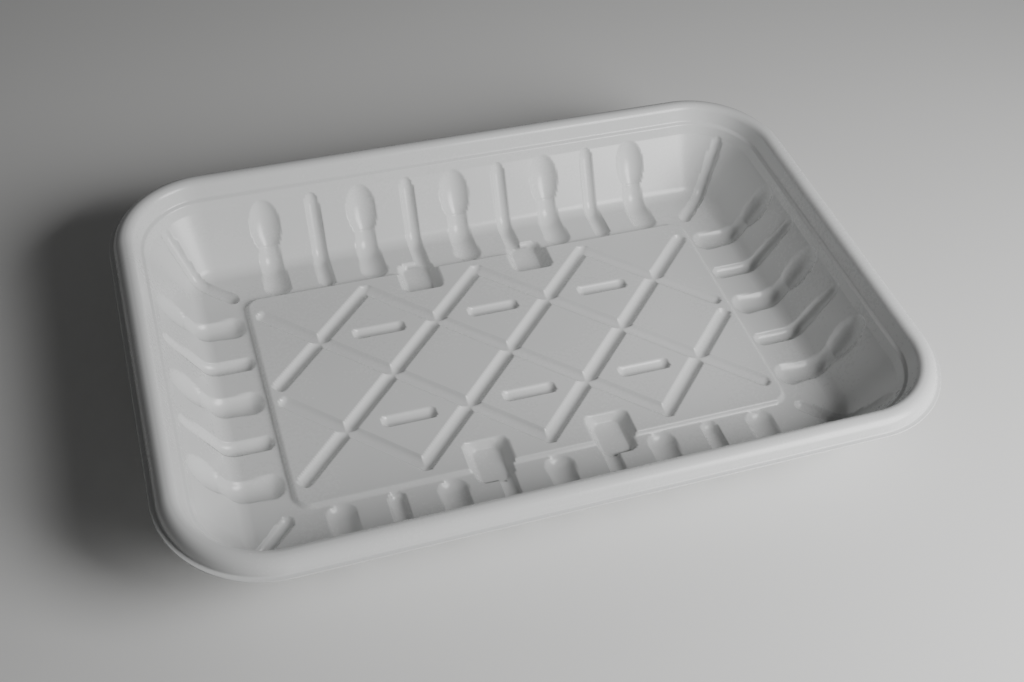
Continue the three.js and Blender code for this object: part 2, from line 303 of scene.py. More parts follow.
@dataclass
class SectionMaker:
    """Works out the inside face's section, from the floor's corner centre out to the lip.

    The gaps are the longest steps on straight runs and on arcs. An arc turns by arc_turn
    radians at most from row to row, and two arcs fill room_used of the run between them at most.
    """

    rim: Rim = Rim()
    wall: Wall = Wall()
    long_gap: float = 0.6
    short_gap: float = 0.4
    arc_turn: float = 0.3
    room_used: float = 0.995

    def corners(self) -> list[tuple[float, float, float]]:
        """Corners of the section before rounding, from the shelf out to the lip's edge.

        The crest's outer side is a circle's arc, given as short chords.

        Returns:
            An inset, a height and a radius for each corner.
        """
        rim, wall = self.rim, self.wall
        collar = math.radians(rim.collar_slope)
        reach = rim.crest_inner_radius * math.tan(collar / 2)
        points = [
            (rim.corner, wall.shelf_height, 0.0),
            (wall.foot_inset, wall.shelf_height, wall.fillet),
            (*wall.step_foot, wall.step_foot_bend),
            (*rim.ledge_end, rim.ledge_end_bend),
            (*rim.ledge, rim.ledge_bend),
            (rim.crest_inset + reach, rim.crest_height, rim.crest_inner_radius),
        ]
        turn = math.radians(rim.crest_outer_turn)
        for angle in turn * np.linspace(0.0, 1.0, rim.crest_outer_steps + 1)[1:]:
            inset = rim.crest_inset - rim.crest_outer_radius * math.sin(angle)
            drop = rim.crest_outer_radius * (1 - math.cos(angle))
            points.append((inset, rim.crest_height - drop, rim.crest_outer_radius))
        points.append((rim.lip_width, rim.lip_height, rim.lip_bend))
        points.append((SHEET / 2, rim.lip_height, 0.0))
        return points

    def rounded(self) -> tuple[np.ndarray, np.ndarray]:
        """The section's points and headings, with every corner turned into an arc.

        An arc starts and ends at the radius times the tangent of half the turn from its
        corner. Where two arcs need more than the run between them, both are made smaller.

        Returns:
            Points of [inset, height], and the heading at each one in radians.
        """
        raw = np.array(self.corners())
        spots, radii = raw[:, :2], raw[:, 2]
        runs = np.diff(spots, axis=0)
        lengths = np.hypot(*runs.T)
        headings = np.unwrap(np.arctan2(runs[:, 1], runs[:, 0]))
        turns = np.concatenate([[0.0], np.diff(headings), [0.0]])
        reaches = radii * np.tan(np.abs(turns) / 2)
        room = self.room_used * lengths / np.maximum(reaches[:-1] + reaches[1:], SAME)
        reaches[1:-1] *= np.minimum(1.0, np.minimum(room[:-1], room[1:]))
        points, angles = [spots[0]], [headings[0]]
        for i in range(1, len(spots) - 1):
            turn = abs(turns[i])
            radius = reaches[i] / math.tan(turn / 2)
            by_length = math.ceil(turn * radius / self.short_gap)
            count = max(2, by_length, math.ceil(turn / self.arc_turn))
            side = math.copysign(radius, turns[i])
            start = headings[i - 1]
            first = spots[i] - reaches[i] * np.array([math.cos(start), math.sin(start)])
            centre = first + side * leftwards(start)
            for angle in start + turns[i] * np.linspace(0.0, 1.0, count + 1):
                points.append(centre - side * leftwards(angle))
                angles.append(angle)
        points.append(spots[-1])
        angles.append(headings[-1])
        return np.array(points), np.array(angles)

    def make(self) -> Section:
        """The whole inside face's section.

        Long runs are cut into equal gaps. The heading runs to smaller insets, so the inside
        face's normal is on its right.

        Returns:
            The section's rows, from the middle of the corner's turn out to the lip.
        """
        points, angles = self.rounded()
        steps = np.hypot(*np.diff(points, axis=0).T)
        travelled = np.concatenate([[0.0], np.cumsum(steps)])
        pieces = np.maximum(np.ceil(steps / self.long_gap), 1).astype(int)
        places = [
            start + step * np.arange(count) / count
            for start, step, count in zip(travelled, steps, pieces)
            if step > SAME
        ]
        at = np.concatenate([*places, [travelled[-1]]])
        angle = np.interp(at, travelled, angles)
        shelf = self.rim.corner - self.wall.fillet_inset
        return Section(
            np.interp(at, travelled, points[:, 0]),
            np.interp(at, travelled, points[:, 1]),
            np.sin(angle),
            -np.cos(angle),
            shelf + self.wall.fillet_length - at,
        )


# ---- Relief ----


@dataclass
class Relief:
    """Depths of all grooves, and the height of the floor; edge is how soft flutes' edges are."""

    rim: Rim = Rim()
    wall: Wall = Wall()
    panel: Panel = Panel()
    flutes: Flutes = Flutes()
    edge: float = 0.38

    def below_fillet(self, inset: np.ndarray) -> np.ndarray:
        """Distance down the face from the fillet's top, for a place on the shelf."""
        return self.wall.fillet_length + inset - self.wall.fillet_inset

    def flute_top(self) -> float:
        """Distance from the fillet's top at which the flutes start, a negative one."""
        rise = self.flutes.top_height - self.wall.fillet_top_height
        return -rise / math.sin(self.wall.slope)

    def thin_flute(
        self,
        across: np.ndarray,
        below: np.ndarray,
        end: float,
        widths: tuple[float, float],
        depths: tuple[float, float],
        skin: Skin,
    ) -> np.ndarray:
        """Depth of a thin flute: a round-bottomed groove, pointed above and round below.

        Width and depth grow evenly down the flute.

        Args:
            across: Distance from the flute's middle line.
            below: Distance down the face from the fillet's top.
            end: Inset of the flute's inner end.
            widths: Half widths at the flute's upper and lower ends.
            depths: Depths there.
            skin: Which face of the sheet.

        Returns:
            The depth below that face.
        """
        sizes = self.flutes
        top, foot = self.flute_top(), self.below_fillet(end)
        part = np.clip((below - top) / (foot - top), 0.0, 1.0)
        width = widths[0] + (widths[1] - widths[0]) * part
        depth = depths[0] + (depths[1] - depths[0]) * part
        above = np.maximum(top + sizes.thin_point - below, 0.0) * width / sizes.thin_point
        beyond = above + np.maximum(below - foot + width, 0.0)
        return groove_depth(np.hypot(across, beyond), width, depth, skin, self.edge)

    def bowl(self, across: np.ndarray, below: np.ndarray, skin: Skin) -> np.ndarray:
        """Depth of a wide flute's bowl.

        Its plan is two half ovals that meet at the widest place. The upper one gets shallow
        towards its edge as a ball does; the lower one gets shallow as it narrows, and ends in
        a slope.

        Args:
            across: Distance from the flute's middle line.
            below: Distance down the face from the fillet's top.
            skin: Which face of the sheet.

        Returns:
            The depth below that face.
        """
        sizes = self.flutes
        widest = self.flute_top() + sizes.bowl_upper
        above = np.maximum(widest - below, 0.0) * sizes.bowl_half_width / sizes.bowl_upper
        lower = np.clip((below - widest) / sizes.bowl_lower, 0.0, sizes.bowl_lower_part)
        width = sizes.bowl_half_width * np.sqrt(1 - lower**2)
        past = below - self.flute_top() - sizes.bowl_length + sizes.bowl_end_run
        slope = sizes.bowl_end_slope * soft_positive(past, sizes.bowl_end_soft)
        deep = sizes.bowl_depth * (width / sizes.bowl_half_width) ** sizes.bowl_shallowing
        depth = groove_depth(np.hypot(across, above), width, deep, skin, self.edge)
        return np.maximum(depth - slope, 0.0)

    def wide_flute(self, across: np.ndarray, below: np.ndarray, skin: Skin) -> np.ndarray:
        """Depth of a wide flute: a bowl, and a foot that spreads from a narrow neck.

        Args:
            across: Distance from the flute's middle line.
            below: Distance down the face from the fillet's top.
            skin: Which face of the sheet.

        Returns:
            The depth below that face.
        """
        sizes = self.flutes
        top, end = self.flute_top(), self.below_fillet(sizes.foot_end_inset)
        neck = top + sizes.neck_part * sizes.bowl_length
        part = np.clip((below - neck) / (end - neck - sizes.foot_level), 0.0, 1.0)
        narrow, broad = sizes.foot_half_width
        shallow, deep = sizes.foot_depth
        width = narrow + (broad - narrow) * part
        depth = shallow + (deep - shallow) * part * (2 - part)
        beyond = np.maximum(neck - below, 0.0)
        beyond = beyond + np.maximum(below - end + sizes.foot_end, 0.0) * width / sizes.foot_end
        foot = groove_depth(np.hypot(across, beyond), width, depth, skin, self.edge)
        return union(self.bowl(across, below, skin), foot)

    def side_flutes(
        self, along: np.ndarray, below: np.ndarray, steps: int, skin: Skin
    ) -> np.ndarray:
        """Depth of all the flutes of two facing sides.

        A place belongs to the nearest wide flute and to the nearest thin one.

        Args:
            along: Distance along the side from its middle.
            below: Distance down the face from the fillet's top.
            steps: Flutes each side of the middle one.
            skin: Which face of the sheet.

        Returns:
            The depth below that face.
        """
        pitch = 2 * self.flutes.pitch
        wide = along - pitch * np.clip(np.round(along / pitch), -(steps // 2), steps // 2)
        step = np.clip(np.floor(along / pitch), -(steps // 2), steps // 2 - 1)
        thin = along - pitch * (step + 0.5)
        sizes = self.flutes
        narrow = self.thin_flute(
            thin, below, sizes.foot_end_inset, sizes.thin_half_width, sizes.thin_depth, skin
        )
        return np.maximum(self.wide_flute(wide, below, skin), narrow)

    def wall_depth(
        self, x: np.ndarray, y: np.ndarray, below: np.ndarray | None, skin: Skin
    ) -> np.ndarray:
        """Depth of flutes and corner grooves.

        Args:
            x: Places along the length.
            y: Places along the width.
            below: Distance down the face, or None to work it out on the shelf.
            skin: Which face of the sheet.

        Returns:
            The depth below that face.
        """
        rim, sizes = self.rim, self.flutes
        corner_x = np.abs(x) - (rim.half_length - rim.corner)
        corner_y = np.abs(y) - (rim.half_width - rim.corner)
        low_long = low_short = low_corner = below
        if below is None:
            low_long = self.below_fillet(rim.half_width - np.abs(y))
            low_short = self.below_fillet(rim.half_length - np.abs(x))
            low_corner = self.below_fillet(rim.corner - (corner_x + corner_y) / math.sqrt(2))
        across = (corner_x - corner_y) / math.sqrt(2)
        depth = self.side_flutes(x, low_long, sizes.long_steps, skin)
        depth = np.maximum(depth, self.side_flutes(y, low_short, sizes.short_steps, skin))
        widths, depths = sizes.corner_half_width, sizes.corner_depth
        corner = self.thin_flute(across, low_corner, sizes.corner_end_inset, widths, depths, skin)
        return np.maximum(depth, corner)

    def lattice_segments(self, side: int) -> list[tuple[float, float, float, float]]:
        """Middle lines of the lattice's grooves that rise or fall to the right.

        Args:
            side: 1 for the rising grooves, which bring the dashes with them, or -1.

        Returns:
            The segments, each as x, y, x, y.
        """
        panel, lines = self.panel, []
        cut = panel.end_inset / panel.lattice_x
        for shift in range(-panel.columns, panel.columns + 1, 2):
            first = max(-panel.rows, -panel.columns - shift)
            last = min(panel.rows, panel.columns - shift)
            first += cut if first + shift == -panel.columns else 0.0
            last -= cut if last + shift == panel.columns else 0.0
            spots = [
                ((row + shift) * panel.lattice_x, row * side * panel.lattice_y)
                for row in (first, last)
            ]
            lines.append((*spots[0], *spots[1]))
        if side < 0:
            return lines
        reach = panel.dash_half_length - panel.groove_half_width
        for row in panel.dash_rows:
            for column in panel.dash_columns:
                x, y = column * panel.lattice_x, row * panel.lattice_y
                lines.append((x - reach, y, x + reach, y))
        return lines

    def nearest(self, x: np.ndarray, y: np.ndarray, side: int) -> np.ndarray:
        """Distance to the nearest of the lattice's segments.

        The distances to all of them go through a soft minimum, so that it turns smoothly where
        two are equally near.

        Args:
            x: Places along the length.
            y: Places along the width.
            side: 1 for the rising grooves and the dashes, or -1 for the falling ones.

        Returns:
            The distance.
        """
        nearest = np.full(x.shape, math.inf)
        for ax, ay, bx, by in self.lattice_segments(side):
            dx, dy = bx - ax, by - ay
            part = np.clip(((x - ax) * dx + (y - ay) * dy) / (dx * dx + dy * dy), 0.0, 1.0)
            off = np.hypot(x - ax - part * dx, y - ay - part * dy)
            nearest = soft_min(nearest, off, self.panel.crossing_soft)
        return np.maximum(nearest, 0.0)

    def lattice_depth(self, x: np.ndarray, y: np.ndarray, skin: Skin) -> np.ndarray:
        """Depth of the lattice: round-bottomed grooves, the rising ones with crisper edges.

        Args:
            x: Places along the length.
            y: Places along the width.
            skin: Which face of the sheet.

        Returns:
            The depth below that face.
        """
        panel = self.panel
        wide, deep, edge = panel.groove_half_width, panel.groove_depth, panel.groove_edge
        rising = groove_depth(self.nearest(x, y, 1), wide, deep, skin, edge)
        wide, deep, edge = panel.falling_half_width, panel.falling_depth, panel.falling_edge
        return np.maximum(rising, groove_depth(self.nearest(x, y, -1), wide, deep, skin, edge))

    def panel_height(self, x: np.ndarray, y: np.ndarray, skin: Skin) -> np.ndarray:
        """Height of shelf and raised panel: a ramp across the edge of a rounded rectangle.

        The ramp starts further in on the underside, so that the slope is as thick as the rest.

        Args:
            x: Places along the length.
            y: Places along the width.
            skin: Which face of the sheet.

        Returns:
            Height above the rest plane.
        """
        panel, shelf = self.panel, self.wall.shelf_height
        side_x = np.abs(x) - panel.half_length + panel.corner
        side_y = np.abs(y) - panel.half_width + panel.corner
        outside = past_corner(side_x, side_y) - panel.corner
        up = 1 - (outside + panel.slope_growth * skin.value) / panel.slope_run
        ramp = soft_min(soft_positive(up, panel.slope_soft), np.ones_like(up), panel.slope_soft)
        return shelf + (panel.height - shelf) * ramp - skin.value

    def pocket_height(self, x: np.ndarray, y: np.ndarray, skin: Skin) -> np.ndarray:
        """Height of the pockets: rounded rectangles that shrink on their way down to the floor.

        At each level each side has moved in by its own run times the part of the way down. The
        level whose outline passes through a place is found by halving the span it can be in.

        Args:
            x: Places along the length.
            y: Places along the width.
            skin: Which face of the sheet.

        Returns:
            Height above the rest plane, a little over the panel's away from the pockets.
        """
        panel, grow, radius = self.panel, skin.value, self.panel.pocket_corner
        floor, top = SHEET - grow, panel.height - grow
        along = np.abs(np.abs(x) - panel.pocket_x) - panel.pocket_half_length - grow + radius
        near = panel.pocket_near - grow - np.abs(y) + radius
        far = np.abs(y) - panel.pocket_far - grow + radius
        upper, lower = (np.full(x.shape, level) for level in panel.pocket_levels)
        for _ in range(panel.pocket_halvings):
            level = (upper + lower) / 2
            past_side = along + panel.pocket_side_run * level
            past_near = near + panel.pocket_near_run * level
            past_end = np.maximum(past_near, far + panel.pocket_far_run * level)
            outside = past_corner(past_side, past_end) > radius
            lower = np.where(outside, level, lower)
            upper = np.where(outside, upper, level)
        height = top - (top - floor) * upper
        return soft_max(height, np.full_like(upper, floor), panel.pocket_foot_soft)

    def floor_height(self, x: np.ndarray, y: np.ndarray, skin: Skin) -> np.ndarray:
        """Height of the floor and shelf with all that is pressed into them.

        The grooves go down from the panel and the shelf, and the pockets are the lower of the two.

        Args:
            x: Places along the length.
            y: Places along the width.
            skin: Which face of the sheet.

        Returns:
            Height above the rest plane.
        """
        depth = np.maximum(self.lattice_depth(x, y, skin), self.wall_depth(x, y, None, skin))
        ground = self.panel_height(x, y, skin) - depth
        return soft_min(ground, self.pocket_height(x, y, skin), self.panel.pocket_edge_soft)

    def floor_points(
        self, x: np.ndarray, y: np.ndarray, skin: Skin
    ) -> tuple[np.ndarray, np.ndarray]:
        """Points and unit normals of the floor, the normals from central differences.

        Args:
            x: Places along the length.
            y: Places along the width.
            skin: Which face of the sheet.

        Returns:
            Points and normals that point out of the sheet.
        """
        gap = NORMAL_GAP
        rise_x = self.floor_height(x + gap, y, skin) - self.floor_height(x - gap, y, skin)
        rise_y = self.floor_height(x, y + gap, skin) - self.floor_height(x, y - gap, skin)
        normal = np.stack([-rise_x, -rise_y, np.full_like(x, 2 * gap)], -1)
        normal /= np.linalg.norm(normal, axis=-1, keepdims=True)
        points = np.stack([x, y, self.floor_height(x, y, skin)], -1)
        return points, normal if skin is Skin.INSIDE else -normal


# ---- Meshes ----


@dataclass
class MeshSheet:
    """A grid of points with their normals, for one face of the sheet."""

    points: np.ndarray
    normals: np.ndarray


def grid_faces(rows: int, columns: int, start: int, wrap: bool, flip: bool) -> np.ndarray:
    """Quads of a grid of rows and columns.

    Args:
        rows: Rows of points.
        columns: Columns of points.
        start: Number of the grid's first point.
        wrap: Whether the last column joins the first.
        flip: Whether the faces turn the other way.

    Returns:
        Four point numbers for each face.
    """
    number = start + np.arange(rows * columns).reshape(rows, columns)
    after = np.roll(number, -1, axis=1) if wrap else number[:, 1:]
    number = number if wrap else number[:, :-1]
    quads = np.stack([number[:-1], number[1:], after[1:], after[:-1]], -1).reshape(-1, 4)
    return quads[:, ::-1] if flip else quads


def strip_faces(one: np.ndarray, other: np.ndarray) -> np.ndarray:
    """Quads between two equal lines of point numbers."""
    return np.stack([one[:-1], one[1:], other[1:], other[:-1]], -1)


def make_piece(
    name: str, points: np.ndarray, normals: np.ndarray, quads: np.ndarray
) -> bpy.types.Object:
    """Makes a mesh object from points in millimetres.

    Points at one place are made one, and a face that loses a side by that becomes a triangle.

    Args:
        name: The object's name.
        points: One row for each point.
        normals: The surface's true normal at each point.
        quads: Four point numbers for each face.

    Returns:
        The object, at the origin.
    """
    keys = np.round(points * MERGE_STEPS).astype(np.int64)
    _, first, same = np.unique(keys, axis=0, return_index=True, return_inverse=True)
    faces = same.reshape(-1)[quads]
    doubled = faces == np.roll(faces, -1, axis=1)
    whole = faces[~doubled.any(1)]
    single = doubled.sum(1) == 1
    triangles = faces[single][~doubled[single]].reshape(-1, 3)
    mesh = bpy.data.meshes.new(name)
    mesh.from_pydata(points[first] * MM, [], whole.tolist() + triangles.tolist())
    mesh.polygons.foreach_set("use_smooth", np.ones(len(mesh.polygons), dtype=bool))
    mesh.normals_split_custom_set_from_vertices(normals[first])
    mesh.update()
    piece = bpy.data.objects.new(name, mesh)
    bpy.context.collection.objects.link(piece)
    return piece


@dataclass
class Tray:
    """The whole sheet, in four pieces: the floor, the shelf, the walls round them and the rim.

    The grid has as many cells to each step of the lattice and to each corner as given; on its
    straight sides the rim keeps one column in rim_thinning. A row within shelf_margin of the
    fillet's end is still on the shelf.
    """

    node: str
    slot_name: str
    rim: Rim = Rim()
    relief: Relief = field(default_factory=Relief)
    maker: SectionMaker = field(default_factory=SectionMaker)
    cells: int = 30
    corner_cells: int = 36
    rim_thinning: int = 10
    lip_edge_steps: int = 6
    shelf_margin: float = 1e-3

    def grid_lines(self, step: float, steps: int, half_size: float) -> np.ndarray:
        """Places of the floor grid's lines along one axis.

        Each step of the lattice is cut into the same number of cells, and what is left beyond
        the lattice into cells of about that size.

        Args:
            step: The lattice's step along the axis.
            steps: How many steps the lattice has each side of the middle.
            half_size: Half of the tray's size along the axis.

        Returns:
            The places, from the least to the greatest.
        """
        inner, outer = step * steps, half_size - self.rim.corner
        middle = np.linspace(-inner, inner, 2 * steps * self.cells + 1)
        edge = np.linspace(inner, outer, 1 + round((outer - inner) * self.cells / step))[1:]
        return np.concatenate([-edge[::-1], middle, edge])

    def lines(self) -> tuple[np.ndarray, np.ndarray]:
        """Places of the floor grid's lines along the length and along the width."""
        panel, rim = self.relief.panel, self.rim
        along_x = self.grid_lines(panel.lattice_x, panel.columns, rim.half_length)
        return along_x, self.grid_lines(panel.lattice_y, panel.rows, rim.half_width)

    def floor(self) -> bpy.types.Object:
        """The floor: a grid over the rectangle between the middles of the four corners' turns.

        Returns:
            The object, both skins and the strip that joins them round the edge.
        """
        x, y = np.meshgrid(*self.lines())
        top, top_normals = self.relief.floor_points(x, y, Skin.INSIDE)
        low, low_normals = self.relief.floor_points(x, y, Skin.UNDERSIDE)
        rows, columns = x.shape
        total = rows * columns
        number = np.arange(total).reshape(rows, columns)
        edge = np.concatenate([number[0], number[1:, -1], number[-1, -2::-1], number[-2::-1, 0]])
        quads = [
            grid_faces(rows, columns, 0, False, True),
            grid_faces(rows, columns, total, False, False),
            strip_faces(edge + total, edge),
        ]
        points = np.concatenate([top, low]).reshape(-1, 3)
        normals = np.concatenate([top_normals, low_normals]).reshape(-1, 3)
        return make_piece("tray_floor", points, normals, np.concatenate(quads))

    def columns(self, thinned: int) -> tuple[np.ndarray, np.ndarray]:
        """The columns round the tray: where each starts and its direction outwards.

        The straight sides follow the floor grid's lines; each corner is a fan from one point.

        Args:
            thinned: Keeps one of this many lines on the straight sides.

        Returns:
            Starts and directions, anticlockwise from the right-hand side.
        """
        along_x, along_y = self.lines()
        far_x, far_y = along_x[-1], along_y[-1]
        along_x = np.unique(np.append(along_x[::thinned], far_x))
        along_y = np.unique(np.append(along_y[::thinned], far_y))
        starts, headings = [], []
        sides = [
            (np.stack([np.full_like(along_y, far_x), along_y], 1), 0.0),
            (np.stack([along_x[::-1], np.full_like(along_x, far_y)], 1), 90.0),
            (np.stack([np.full_like(along_y, -far_x), along_y[::-1]], 1), 180.0),
            (np.stack([along_x, np.full_like(along_x, -far_y)], 1), 270.0),
        ]
        for places, heading in sides:
            fan = heading + 90.0 * np.arange(1, self.corner_cells) / self.corner_cells
            starts += [places, np.repeat(places[-1:], len(fan), axis=0)]
            headings += [np.full(len(places), heading), fan]
        angle = np.radians(np.concatenate(headings))
        return np.concatenate(starts), np.stack([np.cos(angle), np.sin(angle)], 1)

    def carried(self, section: Section, thinned: int) -> tuple[np.ndarray, ...]:
        """A section carried round the tray.

        Args:
            section: The rows to carry.
            thinned: Keeps one of this many columns on the straight sides.

        Returns:
            Points, normals, the directions up the section and round the tray, and each
            point's distance down the face from the fillet's top.
        """
        starts, outward = self.columns(thinned)
        shape = (len(section.inset), len(starts))
        flat = np.concatenate([outward, np.zeros((len(outward), 1))], 1)
        up = np.array([0.0, 0.0, 1.0])
        reach = (self.rim.corner - section.inset)[:, None, None]
        points = np.concatenate([starts, np.zeros((len(starts), 1))], 1) + reach * flat
        points = points + section.height[:, None, None] * up
        normal_in, normal_up = section.normal_in[:, None, None], section.normal_up[:, None, None]
        normals = -flat * normal_in + up * normal_up
        rising = flat * normal_up + up * normal_in
        sideways = np.stack([-flat[:, 1], flat[:, 0], flat[:, 2]], 1)
        round_tray = np.broadcast_to(sideways, (*shape, 3))
        return points, normals, rising, round_tray, np.broadcast_to(section.below[:, None], shape)

    def walls_skin(self, section: Section, skin: Skin) -> MeshSheet:
        """One face of shelf and wall, with its flutes.

        A point goes down its own normal by the groove's depth. The normal leans by how fast
        that depth changes up the section and round the tray. On the flat shelf the floor's
        own function is read, so that the two pieces meet.

        Args:
            section: The rows of shelf and wall.
            skin: Which face of the sheet.

        Returns:
            The grid of points.
        """
        base, normal, rising, round_tray, below = self.carried(section, 1)
        x, y, gap = base[..., 0], base[..., 1], NORMAL_GAP
        depth = self.relief.wall_depth(x, y, below, skin)
        lower = self.relief.wall_depth(x, y, below + gap, skin)
        upper = self.relief.wall_depth(x, y, below - gap, skin)
        side_x, side_y = gap * round_tray[..., 0], gap * round_tray[..., 1]
        after = self.relief.wall_depth(x + side_x, y + side_y, below, skin)
        before = self.relief.wall_depth(x - side_x, y - side_y, below, skin)
        points = base - normal * (depth + skin.value)[..., None]
        lean = rising * ((upper - lower) / (2 * gap))[..., None]
        lean = lean + round_tray * ((after - before) / (2 * gap))[..., None]
        normals = normal + lean
        normals = normals / np.linalg.norm(normals, axis=-1, keepdims=True)
        if skin is Skin.UNDERSIDE:
            normals = -normals
        shelf = section.inset > self.relief.wall.fillet_inset - self.shelf_margin
        points[shelf], normals[shelf] = self.relief.floor_points(x[shelf], y[shelf], skin)
        return MeshSheet(points, normals)

    def closed(
        self, name: str, top: MeshSheet, low: MeshSheet, edge: MeshSheet | None
    ) -> bpy.types.Object:
        """A ring of sheet: both skins and what joins them at their first and last rows.

        Args:
            name: The piece's name.
            top: The inside face, rows going outwards.
            low: The underside, rows going outwards.
            edge: Rows round the last row's edge from inside face to underside, if rounded.

        Returns:
            The object.
        """
        parts = [top, edge, MeshSheet(low.points[::-1], low.normals[::-1])]
        points = np.concatenate([part.points for part in parts if part])
        normals = np.concatenate([part.normals for part in parts if part])
        rows, columns = points.shape[:2]
        number = np.arange(rows * columns).reshape(rows, columns)
        first, last = (np.append(number[row], number[row, 0]) for row in (0, -1))
        quads = np.concatenate(
            [grid_faces(rows, columns, 0, True, False), strip_faces(first, last)]
        )
        return make_piece(name, points.reshape(-1, 3), normals.reshape(-1, 3), quads)

    def fillet_row(self, section: Section) -> int:
        """The row at the fillet's top, where shelf and walls meet."""
        return int(np.argmin(np.abs(section.below)))

    def split_row(self, section: Section) -> int:
        """The row at the ledge's inner edge, where walls and rim meet."""
        ledge = np.array(self.rim.ledge)
        return int(np.argmin(np.hypot(section.inset - ledge[0], section.height - ledge[1])))

    def ring(self, name: str, rows: Section) -> bpy.types.Object:
        """A ring of the fluted sheet between two rows of the section."""
        top, low = self.walls_skin(rows, Skin.INSIDE), self.walls_skin(rows, Skin.UNDERSIDE)
        return self.closed(name, top, low, None)

    def shelf(self, section: Section) -> bpy.types.Object:
        """The shelf and the fillet at the wall's foot."""
        return self.ring("tray_shelf", section.rows(0, self.fillet_row(section)))

    def walls(self, section: Section) -> bpy.types.Object:
        """The fluted wall, from the fillet up to the ledge."""
        rows = section.rows(self.fillet_row(section), self.split_row(section))
        return self.ring("tray_walls", rows)

    def rim_ring(self, section: Section) -> bpy.types.Object:
        """Collar, rounded bead and lip; the lip's edge is a half circle.

        Args:
            section: The whole section.

        Returns:
            The object.
        """
        rows = section.rows(self.split_row(section), len(section.inset) - 1)
        base, normal, *_ = self.carried(rows, self.rim_thinning)
        turn = np.radians(180.0 * np.arange(1, self.lip_edge_steps) / self.lip_edge_steps)
        half = SHEET / 2
        edge = Section(
            half - half * np.sin(turn),
            rows.height[-1] - half + half * np.cos(turn),
            -np.sin(turn),
            np.cos(turn),
            np.zeros_like(turn),
        )
        edge_points, edge_normals, *_ = self.carried(edge, self.rim_thinning)
        return self.closed(
            "tray_rim",
            MeshSheet(base, normal),
            MeshSheet(base - SHEET * normal, -normal),
            MeshSheet(edge_points, edge_normals),
        )

    def build(self, finish: "WhitePlastic") -> None:
        """Makes the four pieces, dresses them and lets them stand for the frame's node.

        Args:
            finish: The plastic that they are made of.
        """
        section = self.maker.make()
        material = finish.material()
        pieces = [self.floor(), self.shelf(section), self.walls(section), self.rim_ring(section)]
        for piece in pieces:
            piece.data.materials.append(material)
            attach(piece, "root")
            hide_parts(self.node)
            log.info("%s: %d faces", piece.name, len(piece.data.polygons))


# ---- Finishes ----


@dataclass
class Shade:
    """A number in a material, on which the usual operators add Math nodes."""

    nodes: "NodeBuilder"
    socket: bpy.types.NodeSocket

    def _math(self, operation: str, *values: "Shade | float") -> "Shade":
        """One Math node."""
        return self.nodes.add("ShaderNodeMath", {"operation": operation}, *values)

    def __add__(self, other: "Shade | float") -> "Shade":
        """The sum."""
        return self._math("ADD", self, other)

    def __radd__(self, other: float) -> "Shade":
        """The sum, reflected."""
        return self._math("ADD", other, self)

    def __sub__(self, other: "Shade | float") -> "Shade":
        """The difference."""
        return self._math("SUBTRACT", self, other)

    def __rsub__(self, other: float) -> "Shade":
        """The difference, reflected."""
        return self._math("SUBTRACT", other, self)

    def __mul__(self, other: "Shade | float") -> "Shade":
        """The product."""
        return self._math("MULTIPLY", self, other)

    def __rmul__(self, other: float) -> "Shade":
        """The product, reflected."""
        return self._math("MULTIPLY", other, self)


@dataclass
class NodeBuilder:
    """Adds nodes to one material."""

    tree: bpy.types.NodeTree

    def add(
        self, kind: str, settings: dict | None = None, *values: object, **named: object
    ) -> Shade:
        """Adds one node.

        Args:
            kind: The node's type.
            settings: Its own properties, set first.
            values: Values or links of its sockets in order.
            named: Values or links of its sockets by name.

        Returns:
            Its first output.
        """
        node = self.tree.nodes.new(kind)
        for key, value in (settings or {}).items():
            setattr(node, key, value)
        pairs = list(zip(node.inputs, values))
        pairs += [(node.inputs[name], value) for name, value in named.items()]
        for socket, value in pairs:
            if isinstance(value, Shade):
                self.tree.links.new(value.socket, socket)
            else:
                socket.default_value = value
        return Shade(self, node.outputs[0])

    def output(self, shade: Shade, name: str) -> Shade:
        """Another output of the node that made a value."""
        return Shade(self, shade.socket.node.outputs[name])


@dataclass(frozen=True)
class Noise:
    """A noise over the surface: repeats to the metre, detail and how rough the detail is."""

    scale: float
    detail: float
    roughness: float = 0.5

    def shade(self, nodes: NodeBuilder, place: Shade) -> Shade:
        """The noise's value, from 0 to 1, at a place on the object."""
        sizes = {"Scale": self.scale, "Detail": self.detail, "Roughness": self.roughness}
        return nodes.add("ShaderNodeTexNoise", {}, Vector=place, **sizes)


